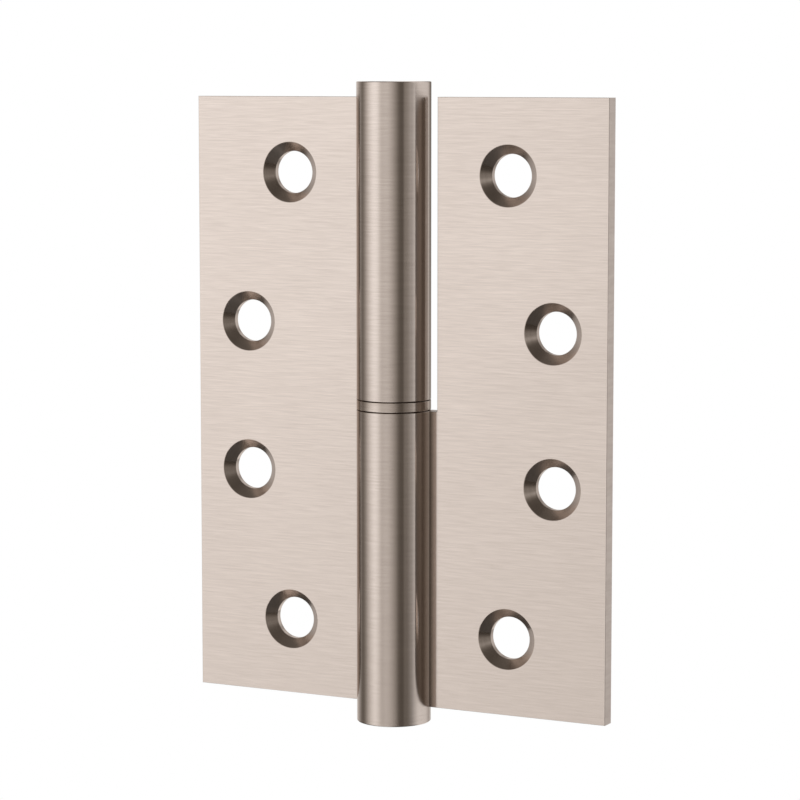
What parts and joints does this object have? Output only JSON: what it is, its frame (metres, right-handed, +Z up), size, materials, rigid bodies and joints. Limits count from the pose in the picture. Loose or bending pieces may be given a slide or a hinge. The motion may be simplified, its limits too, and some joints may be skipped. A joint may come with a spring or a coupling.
{
  "type": "lift-off hinge",
  "caption": "Lift-off door hinge with flat countersunk leaves, round barrels turning on a fixed pin, and a bearing washer between them.",
  "frame": {"origin": "on the pin axis, at the middle of the hinge's height", "axes": "+Z up along the pin axis, +X from the pin to the frame leaf, +Y to the back of the leaves, away from the countersunk faces"},
  "size_m": [0.075, 0.0122, 0.105],
  "materials": {
    "leaf_nickel": "satin nickel plate, brushed across the leaf",
    "barrel_nickel": "satin nickel plate, brushed round the barrel",
    "washer_nickel": "satin nickel plate, turned",
    "pin_steel": "fine ground steel"
  },
  "bodies": {
    "frame_half": {"frame_leaf": "leaf_nickel", "frame_barrel": "barrel_nickel", "hinge_pin": "pin_steel"},
    "washer": {"bearing_washer": "washer_nickel"},
    "door_half": {"door_leaf": "leaf_nickel", "door_barrel": "barrel_nickel"}
  },
  "joints": [
    {"name": "swing", "type": "hinge", "parent": "frame_half", "child": "washer", "pos_m": [0, 0, 0], "axis": [0, 0, 1], "range_deg": [-125, 180]},
    {"name": "lift_off", "type": "slide", "parent": "washer", "child": "door_half", "axis": [0, 0, 1], "range_m": [0, 0.05]}
  ]
}
